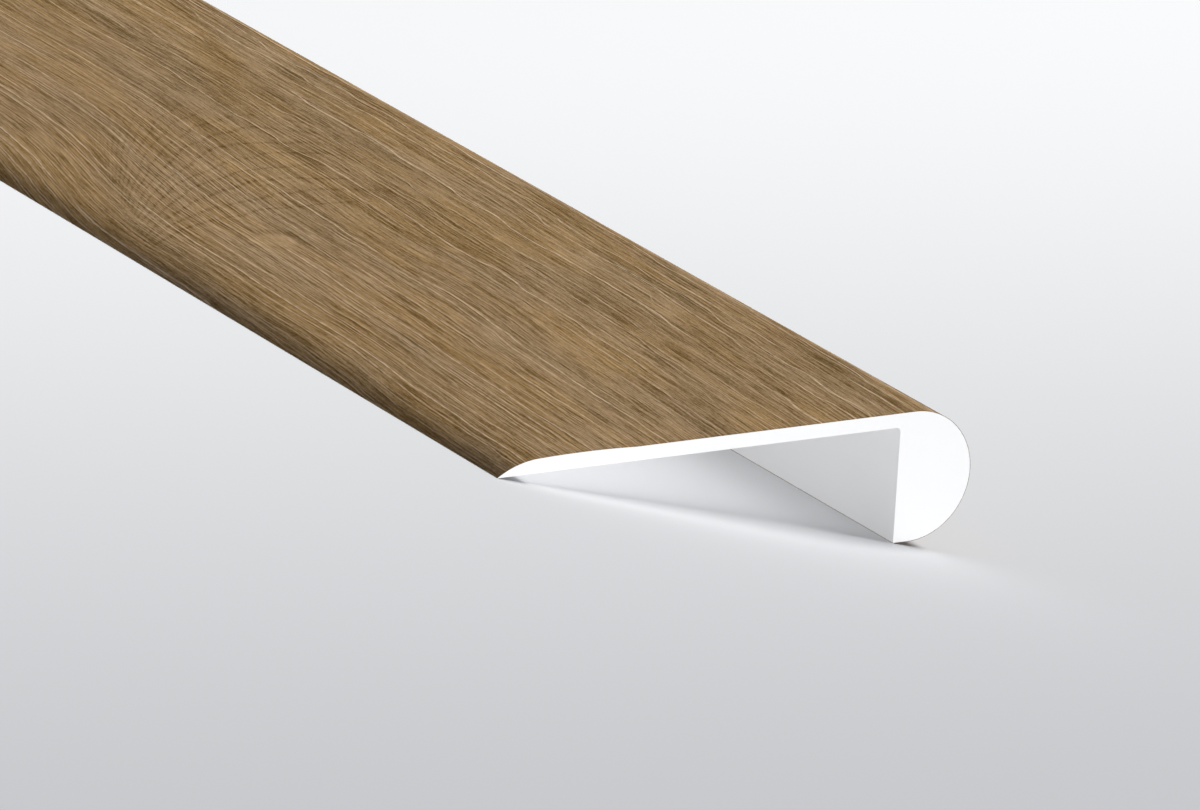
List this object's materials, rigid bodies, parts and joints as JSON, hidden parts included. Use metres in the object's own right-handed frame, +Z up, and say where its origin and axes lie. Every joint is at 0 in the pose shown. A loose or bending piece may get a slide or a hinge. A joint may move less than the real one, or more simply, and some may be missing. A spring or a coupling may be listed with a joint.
{
  "type": "stair nosing",
  "caption": "Length of stair nosing: a thin deck with a feathered back lip, a half-round front, and a square rebate under them that seats on the edge of a tread.",
  "frame": {"origin": "on the floor, under the middle of the part's bounding box, at mid length", "axes": "+X horizontal from the feathered back edge towards the rounded nose, +Y along the length, +Z up from the floor that it lies on; the deck slopes up towards the nose by 14.745 degrees"},
  "size_m": [0.1138, 2.3876, 0.029],
  "materials": {
    "decor_film": "oak print under a matt wear layer, on the deck, lip and nose",
    "vinyl_core": "plain white core, showing on the sawn ends, the underside and the heel face"
  },
  "bodies": {
    "root": {"stair_nosing": "decor_film"}
  },
  "joints": []
}
